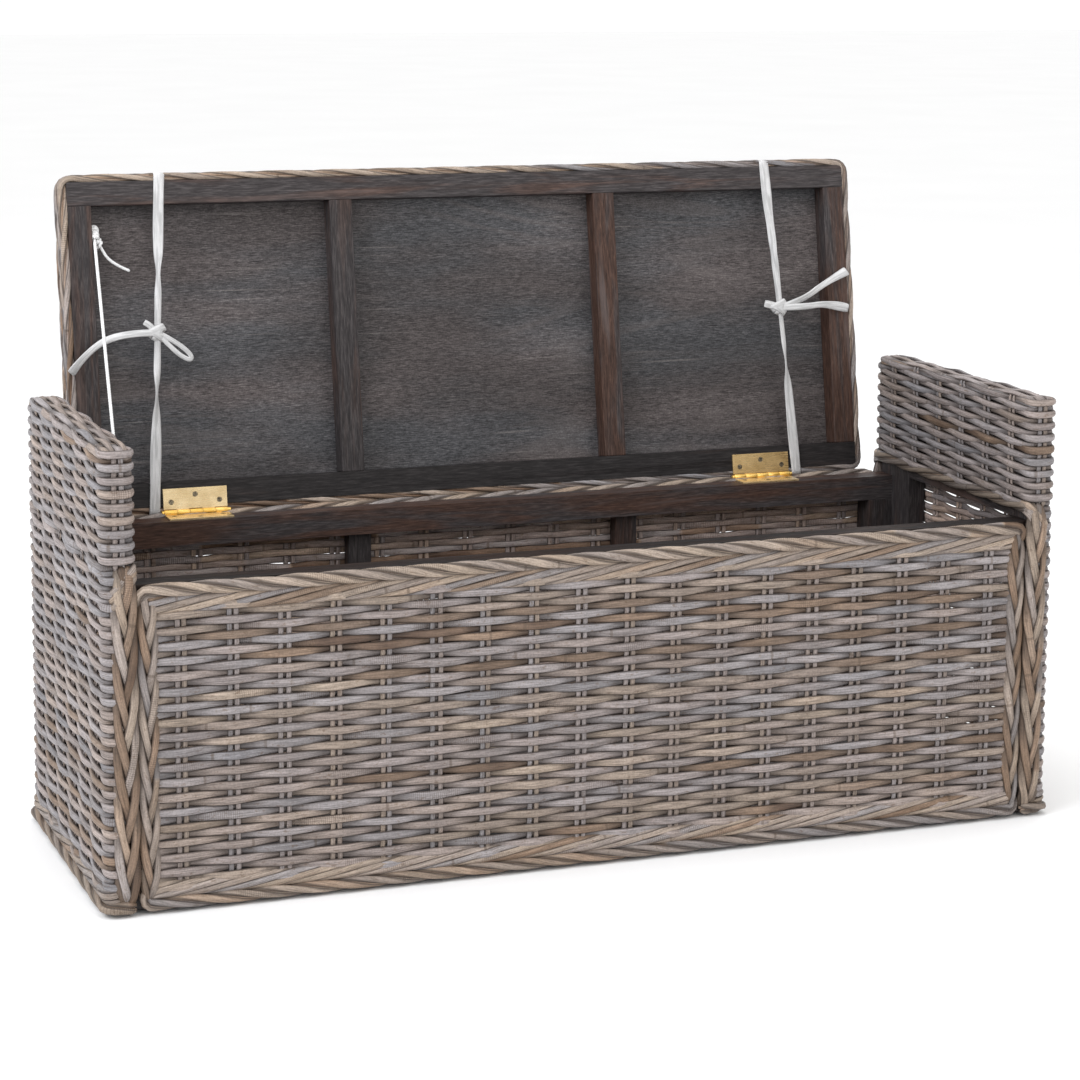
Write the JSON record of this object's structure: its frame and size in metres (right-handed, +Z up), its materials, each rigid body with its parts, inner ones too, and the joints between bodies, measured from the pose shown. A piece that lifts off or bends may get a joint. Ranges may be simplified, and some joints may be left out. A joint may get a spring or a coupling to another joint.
{
  "type": "woven storage bench",
  "caption": "Low woven rattan bench with square arms, an open storage box and a padded lid that swings up on hinges at the back.",
  "frame": {"origin": "on the floor, under the middle of the bench, at the foot of the centre glide", "axes": "+X along the bench to its right end as seen from the front, -Y the front, +Z up"},
  "size_m": [1.2, 0.5497, 0.7953],
  "materials": {
    "dark_wood": "dark stained softwood, satin",
    "plywood": "charcoal stained plywood, matt",
    "rattan_weave": "grey-washed split rattan, matt",
    "rattan_braid": "grey-washed rattan strands, braided",
    "brass": "bright plated",
    "tape": "natural cotton tape",
    "cord": "white twisted cord",
    "cushion_cotton": "natural cotton canvas with piping",
    "glide_plastic": "black moulded glides"
  },
  "bodies": {
    "box": {"front_bottom_rail": "dark_wood", "rear_bottom_rail": "dark_wood", "left_bottom_rail": "dark_wood", "right_bottom_rail": "dark_wood", "floor_bearer": "dark_wood", "front_top_rail": "dark_wood", "rear_top_rail": "dark_wood", "left_front_post": "dark_wood", "left_rear_post": "dark_wood", "right_front_post": "dark_wood", "right_rear_post": "dark_wood", "left_corner_post": "dark_wood", "right_corner_post": "dark_wood", "left_front_stud": "dark_wood", "right_front_stud": "dark_wood", "left_rear_stud": "dark_wood", "right_rear_stud": "dark_wood", "left_mid_rail": "dark_wood", "right_mid_rail": "dark_wood", "left_arm_rail": "dark_wood", "right_arm_rail": "dark_wood", "floor_panel": "plywood", "front_weave": "rattan_weave", "rear_weave": "rattan_weave", "left_outer_weave": "rattan_weave", "right_outer_weave": "rattan_weave", "left_inner_weave": "rattan_weave", "right_inner_weave": "rattan_weave", "left_edge_weave": "rattan_weave", "right_edge_weave": "rattan_weave", "front_border": "rattan_braid", "rear_border": "rattan_braid", "floor_glides": "glide_plastic", "left_hinge_fixed_leaf": "brass", "right_hinge_fixed_leaf": "brass", "left_hinge_pin": "brass", "right_hinge_pin": "brass", "box_hinge_screws": "brass", "stay_cord": "cord"},
    "lid": {"lid_front_rail": "dark_wood", "lid_rear_rail": "dark_wood", "lid_left_stile": "dark_wood", "lid_right_stile": "dark_wood", "lid_left_cross_rail": "dark_wood", "lid_right_cross_rail": "dark_wood", "lid_panel": "plywood", "lid_weave": "rattan_weave", "lid_border": "rattan_braid", "left_hinge_moving_leaf": "brass", "right_hinge_moving_leaf": "brass", "lid_hinge_screws": "brass", "seat_cushion": "cushion_cotton", "left_tie": "tape", "right_tie": "tape", "stay_cord_upper_knot": "cord"}
  },
  "joints": [
    {"name": "lid_hinge", "type": "hinge", "parent": "box", "child": "lid", "pos_m": [0, 0.201, 0.376], "axis": [1, 0, 0], "range_deg": [0, 99], "deforming": ["stay_cord"]}
  ]
}
